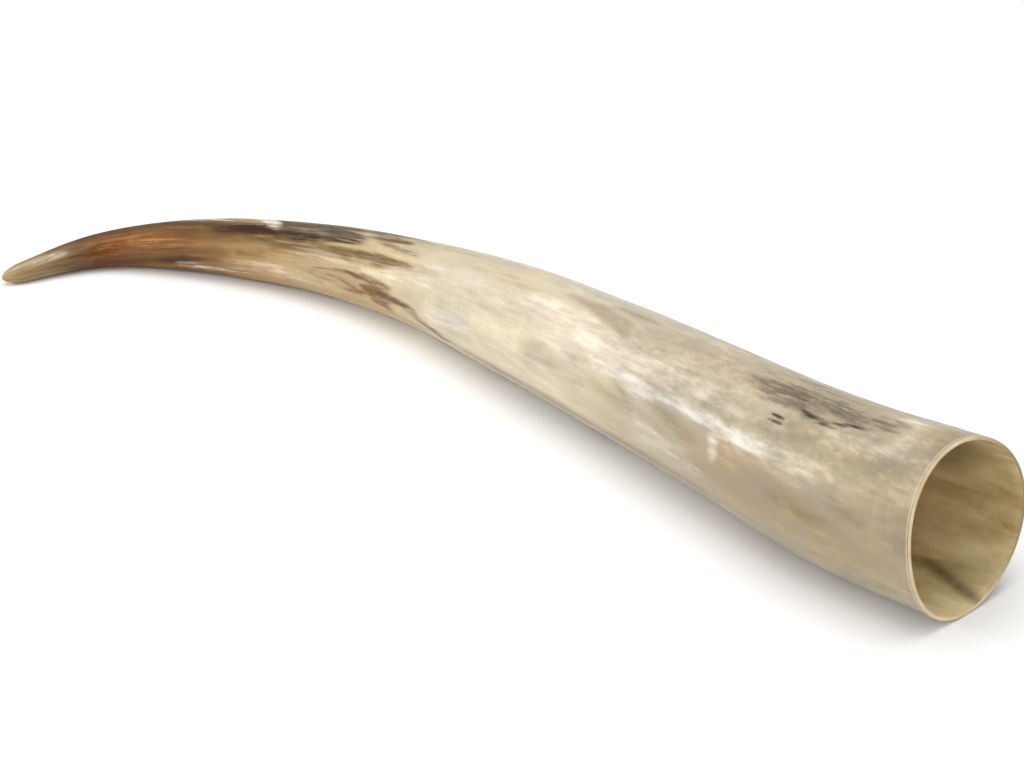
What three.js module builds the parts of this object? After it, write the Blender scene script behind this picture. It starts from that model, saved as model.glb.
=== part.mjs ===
// A polished bull's horn lying on its side, as it comes off the bone core: one piece of horn, open and hollow
// from the sawn base, solid towards the tip.
// Millimetres, +Z up. The straight run of the horn lies along X with the open mouth towards +X, and the tip
// curls round towards -Y. The origin is under the middle of the horn, on the surface that it lies on.
import * as THREE from "three";

// The centreline from the sawn mouth to the tip, in plan, and the horn's radius there.
// The horn lies on its side, so its centre is one radius above the surface all the way along.
const stations = [
  { x: 0, y: 0, radius: 42 },
  { x: -65, y: -10.5, radius: 39.5 },
  { x: -145, y: -10, radius: 35.9 },
  { x: -223.5, y: -10.5, radius: 32.9 },
  { x: -295, y: -13, radius: 29.5 },
  { x: -365.5, y: -18, radius: 23.9 },
  { x: -432, y: -36, radius: 19.6 },
  { x: -496.5, y: -72.5, radius: 15.2 },
  { x: -541, y: -117.5, radius: 9.7 },
  { x: -556, y: -173.5, radius: 4.5 },
];

// The base is taller than it is wide, and flatter on the inside of the bend. Both die out along the horn.
const outOfRound = { oval: 0.032, flat: 0.028, reach: 220 };

// The saw cut across the base: the way its face looks, and how far along the horn the sections lean to meet it.
const sawCut = { azimuth: 2, rise: 9, reach: 60 };

// The hollow that the bone core leaves: the wall at the sawn mouth, and the depth at which the hollow ends.
const hollow = { wall: 1.7, depth: 400, taper: 3 };

const tipRound = 12; // length of the rounded end

const sidesAround = 40;
const bodySections = 46;
const tipSections = 7;
const hollowSections = 24;

const up = new THREE.Vector3(0, 0, 1);
const centreline = new THREE.CatmullRomCurve3(
  stations.map(({ x, y, radius }) => new THREE.Vector3(x, y, radius)),
  false,
  "centripetal",
);
centreline.arcLengthDivisions = 800;
const hornLength = centreline.getLength();

// How far the section is out of round at a distance from the mouth: 1 at the mouth, 0 past the reach.
function outOfRoundShare(distance) {
  return 1 - THREE.MathUtils.smoothstep(distance, 0, outOfRound.reach);
}

// The section's radius at an angle, as a share of the horn's radius. The angle is 0 on the inside of the bend
// and a quarter turn on top.
function sectionShape(distance, angle) {
  const share = outOfRoundShare(distance);
  return 1 - share * (outOfRound.oval * Math.cos(2 * angle) + outOfRound.flat * Math.cos(3 * angle));
}

// The centre, radius and directions of the section at a distance from the mouth.
function sectionAt(distance) {
  const u = Math.min(distance / hornLength, 1);
  const centre = centreline.getPointAt(u);
  const radius = centre.z;
  const along = centreline.getTangentAt(u);
  const side = new THREE.Vector3().crossVectors(up, along).normalize();
  const rise = new THREE.Vector3().crossVectors(along, side);
  // The lowest point of an oval section is more than one radius down, so its centre is that much higher.
  centre.z = radius * sectionShape(distance, -Math.PI / 2);
  return { centre, radius, along, side, rise };
}

const mouth = sectionAt(0);
const cutTurn = THREE.MathUtils.degToRad(sawCut.azimuth);
const cutRise = THREE.MathUtils.degToRad(sawCut.rise);
const cutNormal = new THREE.Vector3(
  Math.cos(cutRise) * Math.cos(cutTurn),
  Math.cos(cutRise) * Math.sin(cutTurn),
  Math.sin(cutRise),
);

// How far a point of the mouth's square section moves along the horn to lie in the saw cut.
function leanToCut(point) {
  const offset = new THREE.Vector3().subVectors(point, mouth.centre);
  return -offset.dot(cutNormal) / mouth.along.dot(cutNormal);
}

// One ring of points round the horn, with its radius scaled by the given share.
function ring(distance, share) {
  const section = sectionAt(distance);
  const blend = Math.max(0, 1 - distance / sawCut.reach);
  const points = [];
  for (let i = 0; i < sidesAround; i += 1) {
    const angle = (2 * Math.PI * i) / sidesAround;
    const place = (at) => {
      const r = at.radius * share * sectionShape(distance, angle);
      return at.centre
        .clone()
        .addScaledVector(at.side, r * Math.cos(angle))
        .addScaledVector(at.rise, r * Math.sin(angle));
    };
    const lean = leanToCut(place({ ...mouth, radius: section.radius }));
    points.push(place(section).addScaledVector(mouth.along, blend * lean));
  }
  return points;
}

// The outside swells quickly from nothing at the rounded tip.
function outerShare(distance) {
  const left = hornLength - distance;
  return left >= tipRound ? 1 : Math.sqrt(1 - (1 - left / tipRound) ** 2);
}

// The hollow is one wall thinner than the horn at the mouth, narrows faster than it and ends round.
function hollowShare(distance) {
  const { radius } = sectionAt(distance);
  return ((radius - hollow.wall) / radius) * Math.sqrt(1 - (distance / hollow.depth) ** hollow.taper);
}

const points = [];
const triangles = [];

function addRing(distance, share) {
  const first = points.length;
  points.push(...ring(distance, share));
  return first;
}

// The band between two rings, facing out for a step towards the tip.
function bridge(from, to) {
  for (let i = 0; i < sidesAround; i += 1) {
    const next = (i + 1) % sidesAround;
    triangles.push([from + i, from + next, to + next], [from + i, to + next, to + i]);
  }
}

// The last ring closes on one point.
function close(from, point, facingTip) {
  const last = points.push(point) - 1;
  for (let i = 0; i < sidesAround; i += 1) {
    const next = (i + 1) % sidesAround;
    triangles.push(facingTip ? [from + i, from + next, last] : [from + next, from + i, last]);
  }
}

function outerDistances() {
  const body = hornLength - tipRound;
  const distances = [];
  for (let i = 0; i <= bodySections; i += 1) {
    distances.push((body * i) / bodySections);
  }
  for (let i = 1; i < tipSections; i += 1) {
    distances.push(body + tipRound * Math.sin((Math.PI / 2) * (i / tipSections)));
  }
  return distances;
}

function hollowDistances() {
  const distances = [];
  for (let i = 0; i < hollowSections; i += 1) {
    distances.push(hollow.depth * Math.sin((Math.PI / 2) * (i / hollowSections)));
  }
  return distances;
}

const outerRings = outerDistances().map((distance) => addRing(distance, outerShare(distance)));
const hollowRings = hollowDistances().map((distance) => addRing(distance, hollowShare(distance)));
for (let i = 1; i < outerRings.length; i += 1) {
  bridge(outerRings[i - 1], outerRings[i]);
}
close(outerRings.at(-1), sectionAt(hornLength).centre, true);
for (let i = 1; i < hollowRings.length; i += 1) {
  bridge(hollowRings[i], hollowRings[i - 1]);
}
close(hollowRings.at(-1), sectionAt(hollow.depth).centre, false);
bridge(hollowRings[0], outerRings[0]); // the sawn rim

const geometry = new THREE.BufferGeometry().setFromPoints(points);
geometry.setIndex(triangles.flat());
geometry.computeVertexNormals();

const polishedHorn = new THREE.MeshStandardMaterial({ color: 0xcfc2a4, roughness: 0.32, metalness: 0 });
const horn = new THREE.Mesh(geometry, polishedHorn);
horn.name = "horn";

// The origin goes under the middle of the horn's box, on the surface it lies on.
const box = new THREE.Box3().setFromBufferAttribute(geometry.getAttribute("position"));
const middle = box.getCenter(new THREE.Vector3());
horn.position.set(-middle.x, -middle.y, -box.min.z);

const bullHorn = new THREE.Group();
bullHorn.add(horn);

export default bullHorn;
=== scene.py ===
import math

import bmesh
import bpy
import numpy as np
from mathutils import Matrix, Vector, noise


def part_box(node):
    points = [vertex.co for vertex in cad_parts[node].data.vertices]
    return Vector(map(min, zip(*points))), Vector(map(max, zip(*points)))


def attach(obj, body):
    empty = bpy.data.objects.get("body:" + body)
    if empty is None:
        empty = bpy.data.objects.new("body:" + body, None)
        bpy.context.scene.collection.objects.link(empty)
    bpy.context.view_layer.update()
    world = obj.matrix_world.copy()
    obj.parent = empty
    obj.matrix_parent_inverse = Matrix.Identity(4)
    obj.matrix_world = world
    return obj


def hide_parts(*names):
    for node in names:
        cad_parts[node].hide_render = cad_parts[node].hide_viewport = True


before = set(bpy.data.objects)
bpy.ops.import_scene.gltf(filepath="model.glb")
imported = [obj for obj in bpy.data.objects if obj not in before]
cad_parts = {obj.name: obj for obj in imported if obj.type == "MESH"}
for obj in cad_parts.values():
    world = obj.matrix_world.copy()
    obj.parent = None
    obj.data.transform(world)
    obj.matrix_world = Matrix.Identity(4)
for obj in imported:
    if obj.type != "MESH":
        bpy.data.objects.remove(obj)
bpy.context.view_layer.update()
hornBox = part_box("horn")
mm = 0.001  # sizes below are in millimetres, and Blender works in metres
print("frame loaded")

# the camera of the photograph: a long lens, looking down on the lying horn from its open end
view = {
    "place": (894.0, -719.3, 682.0),
    "azimuth": 50,
    "elevation": 30,
    "focalPixels": 2600,
    "imageWidth": 1024,
    "sensorWidth": 36,
    "nearest": 50,
    "farthest": 20000,
}


def makeCamera():
    data = bpy.data.cameras.new("camera")
    data.sensor_width = view["sensorWidth"]
    data.lens = view["focalPixels"] * view["sensorWidth"] / view["imageWidth"]
    data.clip_start, data.clip_end = view["nearest"] * mm, view["farthest"] * mm
    camera = bpy.data.objects.new("camera", data)
    turn, drop = math.radians(view["azimuth"]), math.radians(view["elevation"])
    looking = Vector((-math.sin(turn) * math.cos(drop), math.cos(turn) * math.cos(drop), -math.sin(drop)))
    camera.location = Vector(view["place"]) * mm
    camera.rotation_mode = "QUATERNION"
    camera.rotation_quaternion = looking.to_track_quat("-Z", "Y")
    bpy.context.scene.collection.objects.link(camera)
    bpy.context.scene.camera = camera


makeCamera()
print("camera made")

# the horn as it grew: the centreline from the sawn mouth to the tip, in plan, with the radius there
horn = {
    "stations": [
        (0, 0, 42),
        (-65, -10.5, 39.5),
        (-145, -10, 35.9),
        (-223.5, -10.5, 32.9),
        (-295, -13, 29.5),
        (-365.5, -18, 23.9),
        (-432, -36, 19.6),
        (-496.5, -72.5, 15.2),
        (-541, -117.5, 9.7),
        (-556, -173.5, 4.5),
    ],
    "oval": 0.032,  # taller than wide at the base
    "flat": 0.028,  # and flatter on the inside of the bend
    "outOfRoundReach": 220,
    "sawAzimuth": 2,
    "sawRise": 9,
    "sawReach": 60,
    "wall": 1.7,
    "hollowDepth": 400,
    "hollowTaper": 3,
    "tipRound": 12,
    "rimBevel": 0.7,  # the outer edge of the saw cut is sanded round
    "rimEase": 0.25,  # and its inner edge only broken
    "sides": 160,
    "bodyRings": 400,
    "hollowRings": 110,
    "tipRings": 14,
    "bevelRings": 5,
    "easeCorner": 0.3,  # where the broken inner edge turns, as a share of its size
    "skinShare": 0.999,  # a point this share of the radius out, or more, is on the skin
    "rimShare": 0.7,  # faces within this share of the bevel are sawn, and the rest of it is polished
    "wallShare": 0.9,  # faces deeper than this share of the wall are in the hollow
}


def catmullRom(p0, p1, p2, p3, w):
    # the centripetal spline that the solid's centreline follows, between p1 and p2
    d0, d1, d2 = (max((b - a).length_squared ** 0.25, 1e-4) for a, b in ((p0, p1), (p1, p2), (p2, p3)))
    t1 = ((p1 - p0) / d0 - (p2 - p0) / (d0 + d1) + (p2 - p1) / d1) * d1
    t2 = ((p2 - p1) / d1 - (p3 - p1) / (d1 + d2) + (p3 - p2) / d2) * d1
    return p1 + t1 * w + (3 * (p2 - p1) - 2 * t1 - t2) * w**2 + (2 * (p1 - p2) + t1 + t2) * w**3


def layCentreline(stepsPerStation=200):
    stations = [Vector(s) for s in horn["stations"]]
    ends = [2 * stations[0] - stations[1], *stations, 2 * stations[-1] - stations[-2]]
    line = [
        catmullRom(*ends[i : i + 4], k / stepsPerStation)
        for i in range(len(stations) - 1)
        for k in range(stepsPerStation)
    ]
    line.append(stations[-1])
    lengths = [0.0]
    for a, b in zip(line, line[1:]):
        lengths.append(lengths[-1] + (b - a).length)
    return line, lengths


centreline, centreLengths = layCentreline()
hornLength = centreLengths[-1]


def smoothStep(value):
    value = min(max(value, 0.0), 1.0)
    return value * value * (3 - 2 * value)


def sectionShape(distance, angle):
    share = 1 - smoothStep(distance / horn["outOfRoundReach"])
    return 1 - share * (horn["oval"] * math.cos(2 * angle) + horn["flat"] * math.cos(3 * angle))


def sectionAt(distance):
    # centre, radius and directions of the section at a distance from the mouth
    distance = min(max(distance, 0.0), hornLength)
    lo, hi = 0, len(centreLengths) - 1
    while hi - lo > 1:
        middle = (lo + hi) // 2
        if centreLengths[middle] <= distance:
            lo = middle
        else:
            hi = middle
    w = (distance - centreLengths[lo]) / (centreLengths[hi] - centreLengths[lo])
    centre = centreline[lo].lerp(centreline[hi], w)
    steps = 4  # how far to either side the direction is taken
    before, after = max(lo - steps, 0), min(hi + steps, len(centreline) - 1)
    along = (centreline[after] - centreline[before]).normalized()
    side = Vector((0, 0, 1)).cross(along).normalized()
    radius = centre.z
    centre.z = radius * sectionShape(distance, -math.pi / 2)  # the lowest point rests on the surface
    return {"centre": centre, "radius": radius, "along": along, "side": side, "rise": along.cross(side)}


def inSection(section, across, up):
    return section["centre"] + section["side"] * across + section["rise"] * up


def bendPoint(section, mouth, distance, angle, radius):
    # a point of the straight blank, moved to its place on the curved horn
    r = radius * sectionShape(distance, angle)
    across, up = r * math.cos(angle), r * math.sin(angle)
    turn, rise = math.radians(horn["sawAzimuth"]), math.radians(horn["sawRise"])
    cut = Vector((math.cos(rise) * math.cos(turn), math.cos(rise) * math.sin(turn), math.sin(rise)))
    lean = -(inSection(mouth, across, up) - mouth["centre"]).dot(cut) / mouth["along"].dot(cut)
    leaning = max(0.0, 1 - distance / horn["sawReach"])
    return inSection(section, across, up) + mouth["along"] * (lean * leaning)


def outerRadius(distance):
    left = min(1.0, (hornLength - distance) / horn["tipRound"])
    return sectionAt(distance)["radius"] * math.sqrt(max(0.0, 1 - (1 - left) ** 2))


def hollowRadius(distance):
    narrowing = math.sqrt(max(0.0, 1 - (distance / horn["hollowDepth"]) ** horn["hollowTaper"]))
    return (sectionAt(distance)["radius"] - horn["wall"]) * narrowing


def blankProfile():
    # half of the straight horn's outline, from the tip over the sawn rim to the end of the hollow
    tip, bevel, ease = horn["tipRound"], horn["rimBevel"], horn["rimEase"]
    tipRings, bodyRings, bevelRings = horn["tipRings"], horn["bodyRings"], horn["bevelRings"]
    run = hornLength - tip - bevel
    distances = [hornLength - tip * (1 - math.cos(math.pi / 2 * i / tipRings)) for i in range(1, tipRings)]
    distances += [hornLength - tip - run * i / bodyRings for i in range(bodyRings + 1)]
    profile = [(hornLength, 0.0)] + [(d, outerRadius(d)) for d in distances]
    for i in range(1, bevelRings + 1):
        a = math.pi / 2 * i / bevelRings
        profile.append((bevel * (1 - math.sin(a)), outerRadius(0) - bevel * (1 - math.cos(a))))
    inner, corner = hollowRadius(0), ease * horn["easeCorner"]
    profile.append((0.0, inner + ease))
    profile.append((corner, inner + corner))
    for i in range(horn["hollowRings"]):
        d = ease + (horn["hollowDepth"] - ease) * math.sin(math.pi / 2 * i / horn["hollowRings"])
        profile.append((d, hollowRadius(d)))
    profile.append((horn["hollowDepth"], 0.0))
    return profile


# what growth and scraping leave on the outside: height in millimetres, and size round and along
relief = {
    "scraped": (0.26, 1.5, 36),
    "flowing": (0.18, 3.4, 75),
    "facets": (0.07, 8.0, 22),
    "apart": 7,  # how far apart in the noise these three are taken
    "growthHeight": 0.06,
    "growthPitch": 13,
    "growthReach": 190,
    "wander": 4,  # the growth rings wander this far to and fro
    "wanderLength": 60,
    "wanderPlace": 11,
    "fullRadius": 15,  # where the horn is thinner than this it is smoother
    "evenLength": 1,  # the skin is even beside the saw cut
    "evenFade": 12,
}


def reliefAt(distance, angle):
    height = 0
    across, up = math.cos(angle), math.sin(angle)
    for count, name in enumerate(("scraped", "flowing", "facets")):
        amount, around, along = relief[name]
        place = Vector((across * around + relief["apart"] * count, up * around, distance / along))
        height += amount * noise.noise(place)
    place = Vector((across, up + relief["wanderPlace"], distance / relief["wanderLength"]))
    wander = relief["wander"] * noise.noise(place)
    base = 1 - smoothStep(distance / relief["growthReach"])
    wave = math.sin(2 * math.pi * (distance + wander) / relief["growthPitch"])
    height += relief["growthHeight"] * base * wave
    return height * min(1.0, outerRadius(distance) / relief["fullRadius"])


def spinBlank():
    bm = bmesh.new()
    line = [bm.verts.new((d, r, 0)) for d, r in blankProfile()]
    for a, b in zip(line, line[1:]):
        bm.edges.new((a, b))
    bmesh.ops.spin(
        bm, geom=bm.verts[:] + bm.edges[:], cent=(0, 0, 0), axis=(1, 0, 0),
        angle=2 * math.pi, steps=horn["sides"], use_merge=True,
    )
    bmesh.ops.remove_doubles(bm, verts=bm.verts[:], dist=1e-5)
    bmesh.ops.recalc_face_normals(bm, faces=bm.faces[:])
    print("straight blank spun:", len(bm.verts), "points,", len(bm.faces), "faces")
    return bm


# the horn's own pigments, and the highlights, floor reflection and shade painted into its colour, where each
# lies on its skin.
# A mark is a stroke through (distance from the mouth in mm, degrees round from the inside of the bend over
# the top, half width in mm), with how solid it is and how soft its edge is in mm.
marks = {
    "brown": {
        "topWarm": (0.85, 6, [(588, 70, 2), (576, 74, 3.4), (560, 82, 4), (545, 90, 5), (528, 96, 5)]),
        "topOfTipBend": (1.0, 6, [(568, 100, 3), (548, 98, 6), (525, 90, 8), (505, 82, 7), (492, 76, 4)]),
        "topEdge": (1.0, 4, [(588, 110, 3), (560, 110, 5), (532, 112, 4)]),
        "insideCore": (0.75, 4, [(546, -14, 1.5), (530, -9, 2.4), (514, -5, 2.2), (503, -1, 1)]),
        "cloud": (0.75, 6, [(540, 11, 2), (522, 13, 3.4), (506, 15, 3), (498, 14, 1.6)]),
        "besideStreak": (0.8, 6, [(545, 78, 4), (520, 66, 6), (500, 56, 5)]),
        "redStripe": (0.6, 3, [(520, 48, 3), (505, 44, 3), (495, 42, 1.5)]),
        "tipShade": (0.7, 3.5, [(622, 20, 0.8), (610, 10, 1.7), (598, 0, 2.2), (586, -14, 2)]),
        "tipTopLine": (0.75, 3, [(622, 96, 0.5), (612, 94, 0.9), (598, 90, 1.4), (582, 90, 1.6)]),
        "rustCore": (0.6, 4, [(560, 8, 3), (548, 4, 3.5), (540, 8, 2)]),
        "underRust": (0.8, 4, [(578, -14, 2), (560, -17, 3), (548, -19, 2.5)]),
        "smudge": (0.8, 4, [(485, 19, 1.2), (472, 18, 1.8)]),
        "faintSmudge": (0.45, 3, [(465, 19, 1.5), (450, 18, 1.2)]),
        "mapArc": (0.8, 1.6, [
            (438, 7, 0.5), (429, 14, 0.6), (418, 18, 0.7), (408, 19, 0.6), (400, 15, 0.8), (388, 12, 0.8),
        ]),
        "mapArcTwo": (0.7, 1.6, [(398, 20, 0.5), (388, 18, 0.6), (376, 13, 0.5)]),
        "mapUnder": (0.7, 1.8, [(438, 3, 0.6), (430, -2, 0.7), (421, -4, 0.5)]),
        "mapInside": (0.45, 2, [(426, 9, 0.9), (414, 4, 0.8), (404, -3, 0.8)]),
        "mapDash": (0.6, 1.8, [(398, 15, 0.6), (390, 10, 1), (380, 7, 0.7)]),
        "mapRight": (1.0, 2.5, [
            (396, 3, 0.8), (388, 3, 1.6), (377, 0, 2.4), (364, -3, 1.4), (354, -6, 0.8),
        ]),
        "mapBelow": (0.65, 3, [(391, -6, 1.2), (385, -12, 2), (377, -22, 1)]),
        "mapLeft": (0.5, 3, [(398, -8, 0.8), (408, -13, 1.2), (420, -9, 0.7)]),
        "diagonal": (0.9, 3, [
            (362, -8, 1), (352, -15, 1.8), (345, -22, 2), (336, -26, 2.4), (318, -28, 1.4),
        ]),
        "diagonalHead": (0.55, 3, [(372, -4, 1), (360, -9, 2.4), (350, -12, 1.5)]),
        "farBelly": (0.8, 6, [(520, 190, 8), (470, 200, 10), (430, 205, 6)]),
        "farSpot": (0.7, 4, [(395, 150, 4), (370, 158, 5)]),
        "farUnder": (0.75, 5, [(500, -80, 5), (455, -85, 7), (420, -80, 4)]),
    },
    "black": {
        "topLine": (0.75, 2.5, [
            (606, 98, 0.6), (586, 102, 1.2), (566, 103, 2.2), (546, 105, 2.4), (528, 109, 1.4),
        ]),
        "streak": (1.0, 4, [(501, 66, 1), (493, 68, 2.8), (483, 70, 4), (474, 67, 3.4), (464, 62, 1.6)]),
        "streakAbove": (0.5, 4, [(506, 78, 1), (496, 78, 2), (486, 80, 2.4)]),
        "inside": (0.9, 3, [(542, -16, 0.8), (532, -13, 2), (522, -10, 2.2), (513, -7, 0.8)]),
        "insideTail": (0.6, 3, [(556, -18, 1), (542, -16, 1.4)]),
        "purple": (0.7, 3, [(577, -20, 1), (565, -24, 1.8), (552, -26, 1.4)]),
        "slateKnob": (0.75, 3, [(425, 68, 1.5), (416, 66, 2.2), (410, 68, 1)]),
        "slateFoot": (0.65, 3, [(462, 66, 1.6), (452, 62, 2.6), (440, 61, 2.6)]),
        "farStreak": (0.9, 4, [(470, 150, 3), (445, 158, 4), (415, 162, 3)]),
    },
    "slate": {
        "patch": (1.0, 4, [(464, 86, 6), (450, 82, 8), (432, 80, 7), (414, 76, 3.5)]),
        "patchTop": (1.0, 4, [(466, 108, 3), (445, 104, 6), (424, 102, 5.5), (412, 104, 3)]),
        "topMottle": (0.85, 4, [(418, 104, 3), (404, 106, 4.5), (388, 108, 4), (377, 108, 2.5)]),
        "topHaze": (0.4, 6, [(376, 98, 4), (352, 102, 5), (324, 106, 4)]),
        "topOutline": (0.55, 3, [
            (330, 116, 1), (250, 117, 1.5), (180, 117, 2), (110, 115, 2.5), (50, 113, 2.5), (12, 112, 2),
        ]),
        "greySkin": (0.4, 12, [(120, 108, 5), (95, 106, 8), (70, 104, 8)]),
        "greySkinFar": (0.5, 14, [(140, 150, 10), (80, 150, 18), (10, 145, 16)]),
        "farPatch": (0.8, 6, [(330, 175, 6), (300, 182, 9), (262, 178, 6)]),
        "underShade": (0.5, 8, [(345, -70, 4), (280, -75, 9), (200, -72, 7)]),
    },
    "olive": {
        "streak": (1.0, 3, [(414, 45, 1), (403, 47, 3), (388, 46, 3.4), (376, 47, 1.8), (364, 48, 0.8)]),
        "streakTail": (0.6, 3, [(378, 50, 1), (362, 48, 1.6), (345, 50, 1)]),
        "band": (1.0, 5, [(500, 51, 2), (470, 47, 4), (452, 46, 5.4), (436, 44, 5), (412, 44, 3.4)]),
        "bandCore": (1.0, 3.5, [(470, 50, 1.6), (456, 49, 3.4), (441, 46, 3.2), (430, 45, 1.4)]),
        "upperSpot": (1.0, 2.5, [(404, 84, 1.5), (392, 84, 3), (380, 86, 1.4)]),
        "knobFoot": (0.7, 3, [(432, 66, 1.5), (420, 63, 2.4), (408, 64, 1.4)]),
        "insideHalo": (1.0, 5, [(548, -14, 2), (532, -9, 3), (516, -5, 2.6), (504, -1, 1)]),
        "dash": (0.9, 3, [(392, 75, 1), (381, 71, 2.2), (366, 68, 1)]),
        "gold": (0.5, 6, [(468, 42, 3), (440, 38, 4.5), (412, 39, 3.5)]),
        "farCloud": (0.6, 8, [(250, 135, 6), (225, 140, 9), (190, 138, 6)]),
    },
    "taupe": {
        "mapFill": (0.75, 7, [(442, 4, 5), (415, 5, 7), (392, 0, 6), (370, -2, 3)]),
        # painted shade: the dark band along the underside, here under the tip
        "underTip": (0.8, 5, [(478, -30, 3), (440, -30, 4), (400, -27, 5), (350, -28, 3.5)]),
        "topWedge": (1.0, 3, [(252, 83, 1.5), (230, 80, 4.5), (212, 74, 5.5), (203, 67, 3)]),
        # painted shade: the dark band along the underside, before its lower edge turns light
        "paintedUnderShade": (1.0, 5, [
            (335, -27, 2), (300, -30, 3), (240, -31, 3.5), (180, -30, 3.5), (128, -30, 3),
        ]),
        "mouthBelly": (0.75, 14, [(128, -4, 10), (100, 2, 18), (72, 2, 20), (40, -6, 14)]),
        "mouthSide": (0.5, 12, [(60, 8, 8), (30, 12, 12), (8, 20, 10)]),
        "mouthCorner": (0.8, 6, [(12, 92, 4), (4, 82, 6), (1, 70, 5)]),
        "topFlow": (0.5, 7, [(195, 84, 5), (165, 82, 7), (135, 78, 5)]),
        "farFlow": (0.6, 12, [(330, 215, 10), (230, 210, 16), (120, 215, 18), (30, 210, 16)]),
        "underFlow": (0.6, 12, [(150, -90, 12), (90, -85, 20), (20, -90, 16)]),
    },
    "umber": {
        "wedgeTip": (0.9, 2.5, [(214, 70, 1.6), (206, 66, 2.4), (201, 62, 1.2)]),
        "belly": (0.9, 5, [(162, 26, 2.6), (150, 21, 4), (138, 16, 3)]),
        "bellyLow": (0.7, 5, [(170, 12, 2.6), (156, 7, 4), (146, 4, 2)]),
        "mouthSpot": (0.85, 5, [(78, 5, 2.4), (62, 2, 4.4), (50, 4, 2.4)]),
        "mouthDot": (1.0, 4, [(48, 17, 1.8), (39, 15, 3.2), (32, 13, 1.8)]),
        "goldenTop": (0.85, 3.5, [(220, 93, 2), (208, 92, 4), (199, 93, 2)]),
        "skyFoot": (0.85, 5, [(206, 17, 2), (192, 13, 3), (176, 11, 2.4)]),
        # painted shade: thin dark lines in the same band along the underside
        "underShadeLines": (0.75, 3, [
            (330, -26, 1.4), (292, -29, 2), (250, -27, 1.4), (206, -30, 2), (160, -28, 1.6),
        ]),
        "underShadeLinesMouth": (0.6, 3, [(150, -31, 1.4), (118, -28, 1.8), (84, -31, 1.4), (48, -29, 1.6)]),
        "goldenSide": (0.4, 7, [(332, 84, 3), (312, 88, 5), (292, 86, 3)]),
        "skyUnder": (0.5, 8, [(214, -4, 4), (200, -6, 6), (184, -6, 4)]),
        "farShoulder": (0.35, 8, [(335, 74, 5), (305, 72, 9), (270, 70, 6)]),
        "skySpot": (0.9, 4, [(194, 30, 1.4), (187, 24, 3), (181, 17, 2.4)]),
        "skyAbove": (0.45, 5, [(196, 30, 2), (186, 26, 3)]),
        # a darker spot beside the painted highlight bar
        "besideHighlightBar": (0.6, 5, [(126, 61, 3), (110, 58, 2.6), (98, 52, 3), (90, 50, 2)]),
        "shoulderSpot": (0.4, 6, [(150, 70, 3), (138, 66, 4), (124, 62, 3)]),
        "rimSide": (0.4, 6, [(30, -18, 4), (14, -12, 6)]),
        "crackleVeil": (0.65, 9, [(122, 74, 4), (104, 77, 7), (84, 82, 9), (66, 83, 8), (46, 85, 5)]),
    },
    # milky patches of the keratin, with painted highlights among them
    "milkyAndHighlight": {
        # painted highlight on the tip
        "tipHighlight": (0.85, 2, [(624, 66, 0.5), (615, 62, 1.1), (604, 57, 1), (596, 54, 0.4)]),
        "patch": (0.95, 4, [(262, 56, 8), (240, 50, 12.5), (218, 46, 13), (202, 41, 9.5)]),
        # painted highlight: the streak the low left softbox makes along the top of the base, painted as pale
        # marks
        "highlightStreak": (1.0, 3, [(187, 33, 3.5), (177, 32, 4.5), (166, 31, 2.5)]),
        "highlightStreakTail": (0.9, 3.5, [
            (166, 32, 2.5), (140, 34, 2), (112, 34, 2.2), (88, 33, 2.2), (72, 31, 1.2),
        ]),
        "pinkPatch": (0.55, 2.5, [(348, 56, 3), (325, 60, 5), (296, 52, 4)]),
        "blob": (0.9, 2.5, [(338, 0, 2), (330, 5, 4.5), (318, 7, 5.5), (309, 5, 3.5)]),
        "cloudLeft": (0.6, 4, [(396, 24, 1.2), (382, 27, 2.6), (366, 31, 4), (352, 37, 3.5)]),
        "insideLight": (0.4, 6, [(486, -2, 3), (464, -6, 6), (440, -7, 6), (424, -9, 3)]),
        "topVeil": (0.4, 12, [(165, 99, 6), (130, 100, 8), (90, 101, 7), (50, 98, 6)]),
        "rimTop": (0.6, 6, [(48, 98, 3), (38, 95, 5), (26, 94, 3)]),
        "scraped": (0.45, 6, [(198, 50, 12), (165, 52, 10), (128, 54, 6)]),
        "lowSheen": (0.5, 5, [(170, 4, 4), (152, -3, 6), (132, -12, 3)]),
        "nearRim": (0.6, 5, [(48, 65, 3), (34, 62, 4), (24, 58, 3)]),
        "midRim": (0.55, 6, [(72, 30, 5), (60, 28, 6), (48, 26, 3)]),
        # painted highlight: short bright bars of softbox reflection across and above the highlight streak
        "highlightBar": (0.85, 1.2, [(119, 26, 1.2), (117, 16, 1.4), (117, 7, 1)]),
        "highlightBarAbove": (0.6, 1.5, [(138, 53, 0.8), (136, 45, 1.1), (137, 38, 0.8)]),
        "highlightBarJoin": (0.6, 2, [(119, 26, 1.3), (111, 30, 1.3)]),
        "farMilk": (0.8, 8, [(300, 140, 8), (250, 160, 12), (190, 165, 8)]),
    },
    "pale": {
        "wedge": (1.0, 2, [(466, 75, 0.7), (468, 83, 1.6), (472, 93, 2), (476, 106, 2.2), (480, 118, 3)]),
        # painted highlight: the same streak, laid in the pale tone as well
        "highlightStreak": (0.8, 3.5, [(224, 36, 1.2), (204, 34, 2), (187, 33, 3), (177, 32, 4), (166, 32, 2.4)]),
        "highlightStreakTail": (0.75, 3, [(166, 32, 2), (140, 34, 1.8), (118, 33, 2), (96, 33, 1.6), (78, 32, 1.2)]),
        "halo": (0.5, 6, [(524, 112, 3), (502, 108, 4), (486, 102, 3)]),
        # painted reflection of the white floor low on the underside of the bend
        "floorReflection": (0.75, 3, [(524, -21, 0.8), (511, -24, 1.8), (498, -26, 2.2), (486, -30, 1.6)]),
    },
    "crackle": {
        "patch": (1.0, 6, [
            (112, 81, 2), (99, 79, 5), (80, 78, 7.5), (63, 80, 6), (49, 82, 4.5), (38, 82, 2),
        ]),
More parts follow.
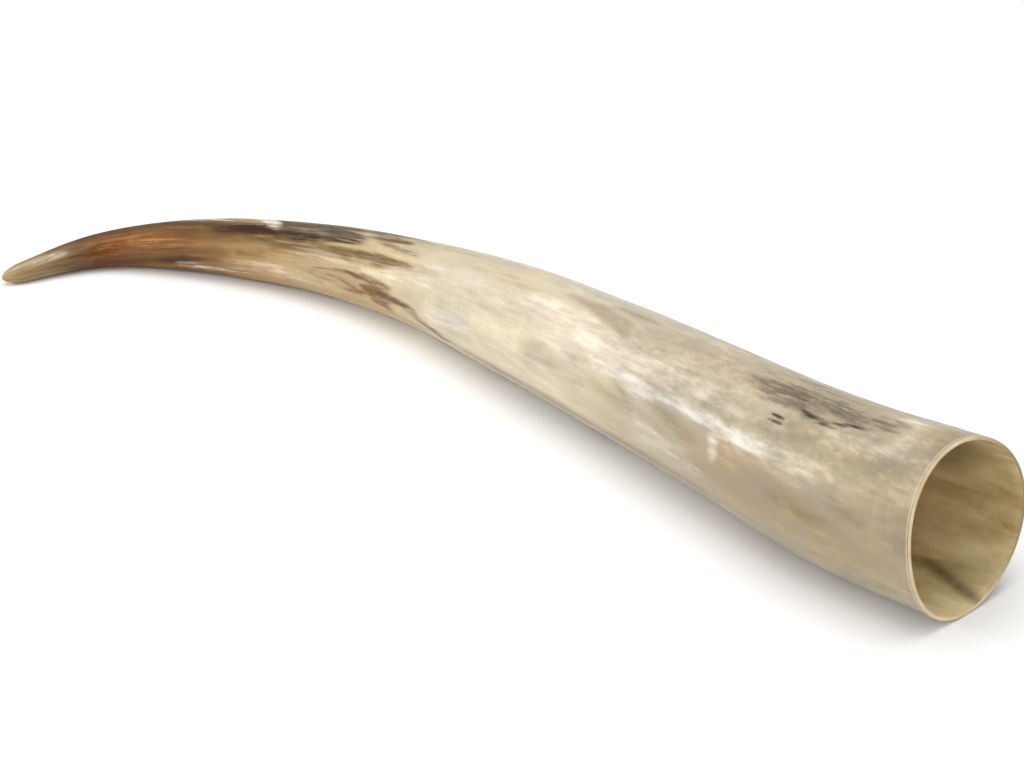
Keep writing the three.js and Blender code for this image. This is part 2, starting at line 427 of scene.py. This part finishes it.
        "upperTail": (0.4, 8, [(132, 96, 2), (110, 96, 4), (85, 97, 5), (60, 98, 4)]),
        "lowerTail": (0.5, 5, [(116, 79, 1.5), (104, 76, 2.5), (96, 74, 2)]),
    },
    "scratch": {
        "dashUpper": (1.0, 1.0, [(92, 58.5, 0.5), (88, 58, 0.9), (85, 57.5, 0.6)]),
        "dashLower": (1.0, 1.0, [(94, 54.8, 0.3), (89, 54.4, 0.8), (85, 54, 0.4)]),
        "lowerEdge": (0.85, 1.6, [
            (82, 71, 0.5), (75, 67.5, 1.3), (67, 69, 0.6), (59, 69.5, 1.2), (52, 72, 0.9), (43, 73, 0.4),
        ]),
        "lowerFlecks": (0.8, 1.4, [(68, 65, 0.4), (61, 66, 0.9), (56, 66.5, 0.3)]),
    },
    "chalk": {
        "shoulder": (0.5, 26, [(195, 56, 14), (120, 59, 16), (50, 59, 14), (18, 57, 10)]),
        "farShoulder": (0.45, 18, [(200, 165, 18), (120, 185, 24), (30, 190, 24)]),
    },
    "stain": {
        "shoulder": (0.5, 24, [(180, 68, 12), (110, 66, 20), (30, 56, 18), (8, 58, 14)]),
        "farShoulder": (0.45, 18, [(190, 150, 18), (100, 170, 24), (20, 200, 24)]),
    },
    "amber": {
        # painted highlight along the rust-brown bend of the tip
        "rustHighlight": (1.0, 3, [
            (584, 56, 0.8), (573, 50, 1.8), (560, 48, 1.4), (545, 47, 1.4), (530, 45, 0.8),
        ]),
        "inBend": (0.5, 4, [(545, 32, 1.5), (528, 30, 2), (512, 30, 2)]),
    },
    "honey": {
        "tipInside": (0.4, 9, [(515, 14, 6), (480, 22, 7), (440, 32, 8), (405, 42, 5)]),
        "tipTop": (0.5, 7, [(500, 50, 5), (455, 50, 5), (425, 50, 4)]),
        "farTip": (0.6, 10, [(510, 200, 12), (440, 205, 16), (390, 210, 12)]),
        "underTip": (0.6, 10, [(500, -90, 10), (430, -80, 12), (390, -70, 8)]),
    },
    # painted shade inside the hollow, over darker patches of its own: the streak is a painted shadow
    "hollowShadeAndPatches": {
        "streak": (0.85, 4, [(30, -112, 1.5), (20, -107, 2.6), (8, -101, 2.6), (1, -98, 2)]),
        "left": (0.12, 16, [(80, -135, 8), (45, -138, 10), (25, -135, 6)]),
        "upper": (0.42, 7, [(48, 170, 3), (36, 176, 4), (26, 158, 5), (22, 146, 4)]),
        "lowRight": (0.28, 8, [(16, -118, 4), (3, -120, 6)]),
    },
    "rimDark": {
        "farSide": (0.75, 24, [(0, 120, 4), (0, 170, 20), (0, 220, 10)]),
    },
}


# each pigment's dark and light tone, how gradual its edge is in opacity, how much softer it is than its marks
# say, how much of the horn it hides, and how far each pattern breaks it up. Each lies over those before it.
pigments = {
    "taupe": {
        "tones": ("#8A755A", "#A89274"), "edge": 0.5, "spread": 1.6, "cover": 0.62,
        "fibres": 0.3, "streaks": 0.35, "clouds": 0.35, "flakes": 0.15,
    },
    "umber": {
        "tones": ("#6B5A3F", "#9C8B6E"), "edge": 0.5, "spread": 1.8, "cover": 0.62,
        "fibres": 0.35, "streaks": 0.35, "clouds": 0.3, "flakes": 0.2,
    },
    # amber: golden streaks on the tip, and the painted highlight on its bend
    "amber": {
        "tones": ("#A37640", "#CFA268"), "edge": 0.5, "spread": 1.8, "cover": 0.5,
        "fibres": 0.45, "streaks": 0.3, "clouds": 0.1, "flakes": 0.1,
    },
    "honey": {
        "tones": ("#7A5A30", "#B4925C"), "edge": 0.5, "spread": 2.0, "cover": 0.6,
        "fibres": 0.4, "streaks": 0.5, "clouds": 0.3, "flakes": 0.1,
    },
    "chalk": {
        "tones": ("#D2CBBD", "#E0DACE"), "edge": 0.5, "spread": 1.0, "cover": 0.36,
        "fibres": 0.25, "streaks": 0.25, "clouds": 0.5, "flakes": 0.4,
    },
    "stain": {
        "tones": ("#857765", "#9F917B"), "edge": 0.5, "spread": 1.0, "cover": 0.42,
        "fibres": 0.35, "streaks": 0.3, "clouds": -0.35, "flakes": -0.35,
    },
    "olive": {
        "tones": ("#453011", "#80683A"), "edge": 0.5, "spread": 1.7, "cover": 0.92,
        "fibres": 0.4, "streaks": 0.4, "clouds": 0.2, "flakes": 0.15,
    },
    # milky patches of the keratin, and painted highlights
    "milkyAndHighlight": {
        "tones": ("#D8CEBE", "#E4DCD0"), "edge": 0.5, "spread": 1.8, "cover": 0.72,
        "fibres": 0.15, "streaks": 0.15, "clouds": 0.12, "flakes": 0.12,
    },
    "brown": {
        "tones": ("#30200E", "#76593A"), "edge": 0.5, "spread": 1.7, "cover": 0.9,
        "fibres": 0.45, "streaks": 0.4, "clouds": 0.2, "flakes": 0.2,
    },
    "slate": {
        "tones": ("#30271F", "#63584A"), "edge": 0.45, "spread": 1.4, "cover": 0.96,
        "fibres": 0.4, "streaks": 0.35, "clouds": 0.15, "flakes": 0.1,
    },
    "black": {
        "tones": ("#0D0703", "#3C2513"), "edge": 0.5, "spread": 1.6, "cover": 0.97,
        "fibres": 0.45, "streaks": 0.4, "clouds": 0.1, "flakes": 0.1,
    },
    # pale streaks, with painted highlights and a painted floor reflection
    "pale": {
        "tones": ("#CFC9C1", "#E2DDD8"), "edge": 0.45, "spread": 1.8, "cover": 0.88,
        "fibres": 0.4, "streaks": 0.2, "clouds": 0.1, "flakes": 0.1,
    },
    "crackle": {
        "tones": ("#2A251D", "#7E7366"), "edge": 0.5, "spread": 2.2, "cover": 0.88,
        "fibres": 0.8, "streaks": 0.3, "clouds": 0.1, "flakes": 0.45,
    },
    "scratch": {
        "tones": ("#1E1A16", "#4A4136"), "edge": 0.3, "spread": 1.2, "cover": 0.95,
        "fibres": 0.15, "streaks": 0.1, "clouds": 0.1, "flakes": 0.2,
    },
}

# sizes of the patterns in mm, and how much light and dark each puts into the horn
keratin = {
    "stretch": 0.5,  # marks run out along the fibres twice as far as across them
    "fibreLength": 22,
    "fibreWidth": 1.5,
    "streakLength": 46,
    "streakWidth": 5,
    "cloudSize": 13,
    "flakeSize": 3.2,
    "flakeStretch": (0.7, 1.5),  # finer across the straight run of the horn than along it
    "driftSize": 60,
    "ringSize": 4,  # faint growth rings across the fibres, near the mouth alone
    "ringBreaks": 2.2,
    "ringReach": 75,
    "ringContrast": 0.06,
    "contrasts": {"fibres": 0.10, "streaks": 0.12, "flakes": 0.06, "clouds": 0.09},
    "tipContrasts": {"fibres": 0.16, "streaks": 0.12},  # added to these in the dark tip, in full past tipFull
    "tipFrom": 400,
    "tipFull": 520,
    "warmDrift": "#FFF9EB",
    "coolDrift": "#E9EAEC",
    "driftBy": {"drift": 0.6, "clouds": 0.2},
    "worn": 0.92,  # polishing has worn the marks this thin, unevenly
    "wornBy": {"fibres": 0.25, "streaks": 0.2},
    "inside": 0.3,  # the weight past which the patterns break a mark up in full
    "thinTone": 0.9,  # how far a mark goes over to its lighter tone where it runs out
    "coreTone": 0.3,  # and in its middle
    "toneBy": {"streaks": 0.35, "flakes": 0.2, "fibres": 0.35},
    "bandsFrom": 450,  # bands along the horn run into one another, in the tip less far than before it
    "bandsTo": 600,
    "bandsRun": 20,
    "bandsRunAtTip": 4,
    "bandsBy": {"streaks": 1, "fibres": 0.6},
    "meanRadius": 30,  # the radius at which the fibre widths hold; they run together towards the tip
    "bumps": {"fibres": 0.014, "streaks": 0.05, "clouds": 0.11, "flakes": 0.012},  # heights in mm
    "pits": {"flakes": 0.09, "clouds": 0.06, "fibres": 0.03},  # added on the worn shoulder
    "roughness": 0.42,
    "roughBy": {"clouds": 0.06, "flakes": 0.03},
}
breakers = ("fibres", "streaks", "clouds", "flakes")  # the patterns that break up the marks
farOutside = -1000.0  # mm


def strokeWeight(distances, degrees, radii, mark, spread):
    # how far inside the stroke each point of the skin lies, as a soft 0 to 1
    solid, soft, path = mark
    depth = np.full(distances.shape, farOutside)
    for (d0, a0, w0), (d1, a1, w1) in zip(path, path[1:]):
        v0 = np.radians((a0 - degrees + 180) % 360 - 180) * radii
        v1 = v0 + math.radians(a1 - a0) * radii
        u0, u1 = (d0 - distances) * keratin["stretch"], (d1 - distances) * keratin["stretch"]
        spanU, spanV = u1 - u0, v1 - v0
        t = np.clip(-(u0 * spanU + v0 * spanV) / (spanU**2 + spanV**2), 0, 1)
        gap = np.hypot(u0 + t * spanU, v0 + t * spanV)
        depth = np.maximum(depth, w0 + (w1 - w0) * t - gap)
    return solid * np.clip(depth / (soft * spread) + 0.5, 0, 1)


def paintPigments(mesh, distances, degrees, radii):
    for pigment, strokes in marks.items():
        weights = np.zeros(distances.shape)
        for mark in strokes.values():
            spread = pigments.get(pigment, {}).get("spread", 1)
            weights = np.maximum(weights, strokeWeight(distances, degrees, radii, mark, spread))
        mesh.attributes.new(pigment, "FLOAT", "POINT").data.foreach_set("value", weights.astype(np.float32))


def bendHorn(bm):
    # the blank's own coordinates are kept, so that grain and pigments follow the horn
    mouth = sectionAt(0)
    sections, smoothPlaces, finalPlaces = {}, [], []
    distances, degrees, radii = [], [], []
    for vert in bm.verts:
        distance, radial = vert.co.x, math.hypot(vert.co.y, vert.co.z)
        angle = math.atan2(vert.co.z, vert.co.y)
        if distance not in sections:
            sections[distance] = sectionAt(distance)
        section = sections[distance]
        outside = radial >= section["radius"] * horn["skinShare"] or distance > hornLength - horn["tipRound"]
        bump = 0
        if outside:
            fromMouth = smoothStep((distance - relief["evenLength"]) / relief["evenFade"])
            fromTip = smoothStep((hornLength - distance) / horn["tipRound"])
            bump = reliefAt(distance, angle) * (fromMouth * fromTip)
        smoothPlaces.append(bendPoint(section, mouth, distance, angle, radial))
        finalPlaces.append(bendPoint(section, mouth, distance, angle, radial + bump))
        distances.append(distance)
        degrees.append(math.degrees(angle))
        radii.append(section["radius"])
    low = Vector([min(p[i] for p in smoothPlaces) for i in range(3)])
    high = Vector([max(p[i] for p in smoothPlaces) for i in range(3)])
    middle = (hornBox[0] + hornBox[1]) / 2 / mm
    shift = Vector((middle.x - (low.x + high.x) / 2, middle.y - (low.y + high.y) / 2, -low.z))
    for vert, place in zip(bm.verts, finalPlaces):
        vert.co = (place + shift) * mm
    print("horn bent and set down")
    return np.array(distances), np.array(degrees), np.array(radii)


rimSlot, hollowSlot = 1, 2  # the polished skin is slot 0


def makeHorn():
    bm = spinBlank()
    for face in bm.faces:
        face.smooth = True
        middle = face.calc_center_median()
        radial, farthest = math.hypot(middle.y, middle.z), max(v.co.x for v in face.verts)
        deep = outerRadius(middle.x) - horn["wall"] * horn["wallShare"]
        if farthest < horn["rimBevel"] * horn["rimShare"] and radial > hollowRadius(0):
            face.material_index = rimSlot
        elif middle.x < horn["hollowDepth"] and radial < deep:
            face.material_index = hollowSlot
    distances, degrees, radii = bendHorn(bm)
    mesh = bpy.data.meshes.new("polished_horn")
    bm.to_mesh(mesh)
    bm.free()
    angles = np.radians(degrees)
    grain = np.stack([distances * mm, np.cos(angles), np.sin(angles)], axis=1).astype(np.float32)
    mesh.attributes.new("grain", "FLOAT_VECTOR", "POINT").data.foreach_set("vector", grain.ravel())
    paintPigments(mesh, distances, degrees, radii)
    made = bpy.data.objects.new("polished_horn", mesh)
    bpy.context.scene.collection.objects.link(made)
    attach(made, "root")
    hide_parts("horn")
    print("pigments painted:", sum(len(strokes) for strokes in marks.values()), "marks")
    return made


def linear(code):
    # a colour written as sRGB hex, as Blender's linear numbers
    parts = [int(code[i : i + 2], 16) / 255 for i in (1, 3, 5)]
    return (*[p / 12.92 if p <= 0.04045 else ((p + 0.055) / 1.055) ** 2.4 for p in parts], 1)


def addNode(tree, kind, settings=None, inputs=None):
    made = tree.nodes.new(kind)
    for name, value in (settings or {}).items():
        setattr(made, name, value)
    for key, value in (inputs or {}).items():
        if isinstance(value, bpy.types.NodeSocket):
            tree.links.new(value, made.inputs[key])
        else:
            made.inputs[key].default_value = value
    return made


# settings that many nodes share
multiplyAdd = {"operation": "MULTIPLY_ADD"}
layOver = {"data_type": "RGBA", "clamp_factor": True}  # one colour over another
tintBy = {**layOver, "blend_type": "MULTIPLY"}  # one colour tinted by another
noiseMiddle, noiseTop = 0.5, 0.72  # raw noise lies about the first and seldom passes the second

# colour of the clean horn along its length, from the mouth (mm) to the tip
hornTones = [
    (0, "#A99C85"),
    (5, "#AB9F88"),
    (20, "#B0A590"),
    (95, "#B2A791"),
    (150, "#BDB29D"),
    (215, "#CDC4B0"),
    (300, "#D5CBB4"),
    (350, "#D3C6AC"),
    (400, "#C6B492"),
    (440, "#C0A984"),
    (462, "#B3966B"),
    (482, "#A38458"),
    (500, "#8C6A3E"),
    (520, "#7B5029"),
    (540, "#7E5427"),
    (560, "#7A4519"),
    (577, "#6D3F14"),
    (590, "#6B5136"),
    (604, "#948062"),
    (615, "#A48D69"),
    (633, "#A59072"),
]

# each pattern's levels of detail, how strong the finer ones are, and where in the noise it is taken
patternNoise = {
    "fibres": (4, 0.6, 3.1),
    "streaks": (4, 0.6, 8.7),
    "clouds": (4, 0.6, 1.9),
    "flakes": (4, 0.68, 5.3),
    "drift": (2, 0.5, 7.7),
    "rings": (3, 0.6, 6.6),
}


def centredNoise(tree, vector, sizes, detail, rough, shift):
    # noise about zero and mostly within one either way, with its own size along each axis it reads
    scaled = addNode(tree, "ShaderNodeVectorMath", multiplyAdd, {0: vector, 1: sizes, 2: (shift,) * 3})
    settings = {"Vector": scaled.outputs[0], "Scale": 1, "Detail": detail, "Roughness": rough}
    raw = addNode(tree, "ShaderNodeTexNoise", {}, settings).outputs[0]
    spread = {0: raw, 1: noiseMiddle, 2: noiseTop, 3: 0, 4: 1}
    return addNode(tree, "ShaderNodeMapRange", {"clamp": False}, spread).outputs[0]


def patternFields(tree):
    grain = addNode(tree, "ShaderNodeAttribute", {"attribute_name": "grain"}).outputs["Vector"]
    skin = addNode(tree, "ShaderNodeTexCoord").outputs["Object"]
    aroundFibre = keratin["meanRadius"] / keratin["fibreWidth"] / 2
    aroundStreak = keratin["meanRadius"] / keratin["streakWidth"] / 2
    cloud, flake, drift = (1000 / keratin[size] / 2 for size in ("cloudSize", "flakeSize", "driftSize"))
    flakeAlong, flakeAcross = keratin["flakeStretch"]
    sizes = {
        "fibres": (grain, (1000 / keratin["fibreLength"], aroundFibre, aroundFibre)),
        "streaks": (grain, (1000 / keratin["streakLength"], aroundStreak, aroundStreak)),
        "clouds": (skin, (cloud, cloud, cloud)),
        "flakes": (skin, (flake * flakeAlong, flake * flakeAcross, flake * flakeAcross)),
        "drift": (skin, (drift, drift, drift)),
        "rings": (grain, (1000 / keratin["ringSize"], keratin["ringBreaks"], keratin["ringBreaks"])),
    }
    fields = {name: centredNoise(tree, *sizes[name], *patternNoise[name]) for name in sizes}
    fields["grain"] = grain
    return fields


def addUp(tree, start, fields, amounts):
    # a starting value plus so much of each pattern
    total = start
    for kind, amount in amounts.items():
        added = addNode(tree, "ShaderNodeMath", multiplyAdd, {0: fields[kind], 1: amount, 2: total})
        total = added.outputs[0]
    return total


def fillRamp(ramp, stops):
    # the colours go in after all the places, because the ramp keeps its stops in order as they move
    while len(ramp.elements) < len(stops):
        ramp.elements.new(0.5)
    for element, (place, colour) in zip(ramp.elements, stops):
        element.position = place
    for element, (place, colour) in zip(ramp.elements, stops):
        element.color = colour


def lengthTone(tree, fields):
    # the clean horn's tone along its length, its bands run into one another along the fibres
    distance = addNode(tree, "ShaderNodeSeparateXYZ", {}, {0: fields["grain"]}).outputs[0]
    run = {
        0: distance,
        1: keratin["bandsFrom"] * mm,
        2: keratin["bandsTo"] * mm,
        3: keratin["bandsRun"] * mm,
        4: keratin["bandsRunAtTip"] * mm,
    }
    run = addNode(tree, "ShaderNodeMapRange", {}, run).outputs[0]
    wander = addUp(tree, 0.0, fields, keratin["bandsBy"])
    place = addNode(tree, "ShaderNodeMath", multiplyAdd, {0: wander, 1: run, 2: distance}).outputs[0]
    share = addNode(tree, "ShaderNodeMath", {"operation": "DIVIDE"}, {0: place, 1: hornLength * mm})
    ramp = addNode(tree, "ShaderNodeValToRGB", {}, {0: share.outputs[0]})
    fillRamp(ramp.color_ramp, [(min(at / hornLength, 1), linear(code)) for at, code in hornTones])
    return ramp.outputs[0], distance


def markMask(tree, fields, weight, settings):
    # how much of the horn a pigment hides, broken up by the patterns and worn thin by polishing
    inside = addNode(tree, "ShaderNodeMapRange", {}, {0: weight, 1: 0, 2: keratin["inside"]}).outputs[0]
    broken = addUp(tree, 0.0, fields, {kind: settings[kind] for kind in breakers})
    total = addNode(tree, "ShaderNodeMath", multiplyAdd, {0: broken, 1: inside, 2: weight}).outputs[0]
    hidden = {0: total, 1: 0.5 - settings["edge"], 2: 0.5 + settings["edge"], 3: 0, 4: settings["cover"]}
    mask = addNode(tree, "ShaderNodeMapRange", {"interpolation_type": "SMOOTHSTEP"}, hidden).outputs[0]
    worn = addUp(tree, keratin["worn"], fields, keratin["wornBy"])
    return addNode(tree, "ShaderNodeMath", {"operation": "MULTIPLY"}, {0: mask, 1: worn}).outputs[0]


def markTone(tree, fields, weight, settings):
    # darkest in the middle of the mark, lighter where it runs out
    lighter = {0: weight, 1: 0, 2: 1, 3: keratin["thinTone"], 4: keratin["coreTone"]}
    lighter = addNode(tree, "ShaderNodeMapRange", {}, lighter).outputs[0]
    lighter = addUp(tree, lighter, fields, keratin["toneBy"])
    dark, light = (linear(code) for code in settings["tones"])
    return addNode(tree, "ShaderNodeMix", layOver, {0: lighter, 6: dark, 7: light}).outputs[2]


def lightAndDark(tree, fields, distance):
    # what the patterns do to the light, with stronger fibres in the tip and growth rings by the mouth
    light = addUp(tree, 1.0, fields, keratin["contrasts"])
    tipward = {0: distance, 1: keratin["tipFrom"] * mm, 2: keratin["tipFull"] * mm, 3: 0, 4: 1}
    tipward = addNode(tree, "ShaderNodeMapRange", {}, tipward).outputs[0]
    more = addUp(tree, 0.0, fields, keratin["tipContrasts"])
    light = addNode(tree, "ShaderNodeMath", multiplyAdd, {0: more, 1: tipward, 2: light}).outputs[0]
    ringShare = {0: distance, 1: 0, 2: keratin["ringReach"] * mm, 3: keratin["ringContrast"], 4: 0}
    ringShare = addNode(tree, "ShaderNodeMapRange", {}, ringShare).outputs[0]
    return addUp(tree, light, fields, {"rings": ringShare})


# thin lines that sanding the saw cut leaves on the skin beside it: distance in mm, tone and strength
rimTones = [
    (0, "#9A8460", 0.4),
    (0.9, "#9A8460", 0.4),
    (1.4, "#EADFC8", 0.35),
    (1.8, "#EADFC8", 0.3),
    (2.6, "#EADFC8", 0),
]


def rimLines(tree, distance, colour):
    reach = rimTones[-1][0]
    share = addNode(tree, "ShaderNodeMath", {"operation": "MULTIPLY"}, {0: distance, 1: 1000 / reach})
    ramp = addNode(tree, "ShaderNodeValToRGB", {}, {0: share.outputs[0]})
    stops = [(place / reach, (*linear(code)[:3], strength)) for place, code, strength in rimTones]
    fillRamp(ramp.color_ramp, stops)
    over = {0: ramp.outputs[1], 6: colour, 7: ramp.outputs[0]}
    return addNode(tree, "ShaderNodeMix", layOver, over).outputs[2]


def skinColour(tree, fields):
    colour, distance = lengthTone(tree, fields)
    for name, settings in pigments.items():
        weight = addNode(tree, "ShaderNodeAttribute", {"attribute_name": name}).outputs["Fac"]
        mask = markMask(tree, fields, weight, settings)
        tone = markTone(tree, fields, weight, settings)
        colour = addNode(tree, "ShaderNodeMix", layOver, {0: mask, 6: colour, 7: tone}).outputs[2]
    drift = addUp(tree, 0.5, fields, keratin["driftBy"])
    cool, warm = linear(keratin["coolDrift"]), linear(keratin["warmDrift"])
    tint = addNode(tree, "ShaderNodeMix", layOver, {0: drift, 6: cool, 7: warm}).outputs[2]
    colour = addNode(tree, "ShaderNodeMix", tintBy, {0: 1.0, 6: colour, 7: tint}).outputs[2]
    light = lightAndDark(tree, fields, distance)
    grey = addNode(tree, "ShaderNodeCombineXYZ", {}, {0: light, 1: light, 2: light}).outputs[0]
    colour = addNode(tree, "ShaderNodeMix", tintBy, {0: 1.0, 6: colour, 7: grey}).outputs[2]
    return rimLines(tree, distance, colour)


# light goes a little way into keratin, and red the furthest
glow = {"Subsurface Radius": (1.0, 0.62, 0.35), "Subsurface Scale": 3 * mm}


def newMaterial(name, finish):
    material = bpy.data.materials.new(name)
    material.use_nodes = True
    shader = material.node_tree.nodes["Principled BSDF"]
    for socket, value in {**glow, **finish}.items():
        shader.inputs[socket].default_value = value
    return material, material.node_tree, shader


# polished keratin: cloudy and waxy, so light goes in a little way, under a buffed gloss
polishedFinish = {
    "IOR": 1.54,
    "Specular IOR Level": 0.08,
    "Subsurface Weight": 0.22,
    "Coat Weight": 0.25,
    "Coat Roughness": 0.18,
}


def keratinMaterial():
    material, tree, shader = newMaterial("polished keratin", polishedFinish)
    fields = patternFields(tree)
    tree.links.new(skinColour(tree, fields), shader.inputs["Base Color"])
    height = addUp(tree, 0.0, fields, keratin["bumps"])
    # the worn shoulder near the mouth is pitted as well
    shoulder = addNode(tree, "ShaderNodeAttribute", {"attribute_name": "stain"}).outputs["Fac"]
    pits = addUp(tree, 0.0, fields, keratin["pits"])
    height = addNode(tree, "ShaderNodeMath", multiplyAdd, {0: shoulder, 1: pits, 2: height}).outputs[0]
    bump = addNode(tree, "ShaderNodeBump", {}, {"Height": height, "Distance": 1 * mm, "Strength": 1})
    tree.links.new(bump.outputs[0], shader.inputs["Normal"])
    tree.links.new(bump.outputs[0], shader.inputs["Coat Normal"])
    roughness = addUp(tree, keratin["roughness"], fields, keratin["roughBy"])
    tree.links.new(roughness, shader.inputs["Roughness"])
    return material


# sawn and sanded keratin: end grain, paler and duller than the polished skin
sawnRim = {
    "tones": ("#EAD9B6", "#D2B98C"),
    "darkTone": "#7C6A45",
    "patches": ((60, 60, 60), 3, 0.6, 2.0),  # sizes, detail, roughness and place of the noise
    "finish": {"Subsurface Weight": 0.3, "Roughness": 0.42},
}


def sawnMaterial():
    material, tree, shader = newMaterial("sanded rim keratin", sawnRim["finish"])
    skin = addNode(tree, "ShaderNodeTexCoord").outputs["Object"]
    patches = centredNoise(tree, skin, *sawnRim["patches"])
    patches = addNode(tree, "ShaderNodeMapRange", {}, {0: patches, 1: -1, 2: 1}).outputs[0]
    light, dull = (linear(code) for code in sawnRim["tones"])
    colour = addNode(tree, "ShaderNodeMix", layOver, {0: patches, 6: light, 7: dull}).outputs[2]
    dark = addNode(tree, "ShaderNodeAttribute", {"attribute_name": "rimDark"}).outputs["Fac"]
    over = {0: dark, 6: colour, 7: linear(sawnRim["darkTone"])}
    colour = addNode(tree, "ShaderNodeMix", layOver, over).outputs[2]
    tree.links.new(colour, shader.inputs["Base Color"])
    return material


# the inside, where the bone core sat: thin, olive-brown and only wiped clean, so half glossy
hollowSkin = {
    "tones": ("#B59B5E", "#ECDDB0"),
    # darkTone is the tone of the painted shade and dark patches inside
    "darkTone": "#5A4726",
    "patches": ((26, 2.6, 2.6), 3, 0.55, 4.4),
    "fine": ((30, 14, 14), 4, 0.6, 1.2),
    "pits": ((220, 220, 220), 3, 0.6, 6.0),
    "pitDepth": 0.15,
    "toneBy": {"patches": 0.6, "fine": 0.1},
    "darkBy": {"fine": 0.08},
    "lightBy": {"fine": 0.05},
    "finish": {"Subsurface Weight": 0.3, "Roughness": 0.36},
}


def hollowMaterial():
    material, tree, shader = newMaterial("hollow keratin", hollowSkin["finish"])
    grain = addNode(tree, "ShaderNodeAttribute", {"attribute_name": "grain"}).outputs["Vector"]
    skin = addNode(tree, "ShaderNodeTexCoord").outputs["Object"]
    fields = {
        "patches": centredNoise(tree, grain, *hollowSkin["patches"]),
        "fine": centredNoise(tree, grain, *hollowSkin["fine"]),
        "pits": centredNoise(tree, skin, *hollowSkin["pits"]),
    }
    tone = addUp(tree, 0.5, fields, hollowSkin["toneBy"])
    deep, pale = (linear(code) for code in hollowSkin["tones"])
    colour = addNode(tree, "ShaderNodeMix", layOver, {0: tone, 6: deep, 7: pale}).outputs[2]
    # painted shade and darker patches inside the hollow
    dark = addNode(tree, "ShaderNodeAttribute", {"attribute_name": "hollowShadeAndPatches"}).outputs["Fac"]
    dark = addUp(tree, dark, fields, hollowSkin["darkBy"])
    over = {0: dark, 6: colour, 7: linear(hollowSkin["darkTone"])}
    colour = addNode(tree, "ShaderNodeMix", layOver, over).outputs[2]
    light = addUp(tree, 1.0, fields, hollowSkin["lightBy"])
    grey = addNode(tree, "ShaderNodeCombineXYZ", {}, {0: light, 1: light, 2: light}).outputs[0]
    colour = addNode(tree, "ShaderNodeMix", tintBy, {0: 1.0, 6: colour, 7: grey}).outputs[2]
    tree.links.new(colour, shader.inputs["Base Color"])
    depth = {"Height": fields["pits"], "Distance": hollowSkin["pitDepth"] * mm, "Strength": 1}
    bump = addNode(tree, "ShaderNodeBump", {}, depth)
    tree.links.new(bump.outputs[0], shader.inputs["Normal"])
    return material


hornPiece = makeHorn()
for made in (keratinMaterial(), sawnMaterial(), hollowMaterial()):
    hornPiece.data.materials.append(made)
print("materials made")

# a white table and soft studio light: wide softboxes overhead and in front, and a small one low on the left,
# with places and sizes in metres and powers in watts
studio = {
    "floorSize": 12,
    "floorColour": "#F6F6F6",
    "floorRoughness": 0.85,
    "horizonStrength": 0.3,
    "zenithStrength": 1.0,
    "softboxes": {
        "overhead": {"place": (0.0, 0.1, 1.5), "aim": (0, 0, 0), "size": (1.2, 1.2), "power": 10},
        "front": {"place": (-0.2, -1.7, 0.75), "aim": (0, 0, 0), "size": (2.0, 0.9), "power": 10},
        "leftBox": {
            "place": (-0.564, -0.815, 0.424),
            "aim": (0.156, 0.055, 0.04),
            "size": (0.26, 0.13),
            "power": 2.0,
        },
    },
}


def makeFloor():
    bm = bmesh.new()
    bmesh.ops.create_grid(bm, x_segments=1, y_segments=1, size=studio["floorSize"] / 2)
    mesh = bpy.data.meshes.new("white_table")
    bm.to_mesh(mesh)
    bm.free()
    floor = bpy.data.objects.new("white_table", mesh)
    bpy.context.scene.collection.objects.link(floor)
    # matt white paper: rough enough to show no reflection
    paper = bpy.data.materials.new("matt white paper")
    paper.use_nodes = True
    shader = paper.node_tree.nodes["Principled BSDF"]
    shader.inputs["Base Color"].default_value = linear(studio["floorColour"])
    shader.inputs["Roughness"].default_value = studio["floorRoughness"]
    mesh.materials.append(paper)


def addSoftbox(name, lamp):
    data = bpy.data.lights.new(name, "AREA")
    data.shape = "RECTANGLE"
    data.size, data.size_y = lamp["size"]
    data.energy = lamp["power"]
    made = bpy.data.objects.new(name, data)
    made.location = lamp["place"]
    made.rotation_mode = "QUATERNION"
    made.rotation_quaternion = (Vector(lamp["aim"]) - Vector(lamp["place"])).to_track_quat("-Z", "Y")
    bpy.context.scene.collection.objects.link(made)


def lightWorld():
    world = bpy.data.worlds.new("studio")
    bpy.context.scene.world = world
    world.use_nodes = True
    tree = world.node_tree
    background = tree.nodes["Background"]
    background.inputs["Color"].default_value = (1, 1, 1, 1)
    # a light tent that is bright above and dim at table height, so the horn's edges stay dark
    direction = addNode(tree, "ShaderNodeTexCoord").outputs["Generated"]
    height = addNode(tree, "ShaderNodeSeparateXYZ", {}, {0: direction}).outputs[2]
    strengths = {0: height, 1: 0, 2: 1, 3: studio["horizonStrength"], 4: studio["zenithStrength"]}
    strength = addNode(tree, "ShaderNodeMapRange", {}, strengths).outputs[0]
    tree.links.new(strength, background.inputs["Strength"])


makeFloor()
for name, lamp in studio["softboxes"].items():
    addSoftbox(name, lamp)
lightWorld()
bpy.context.scene.view_settings.view_transform = "Standard"
print("studio lit")
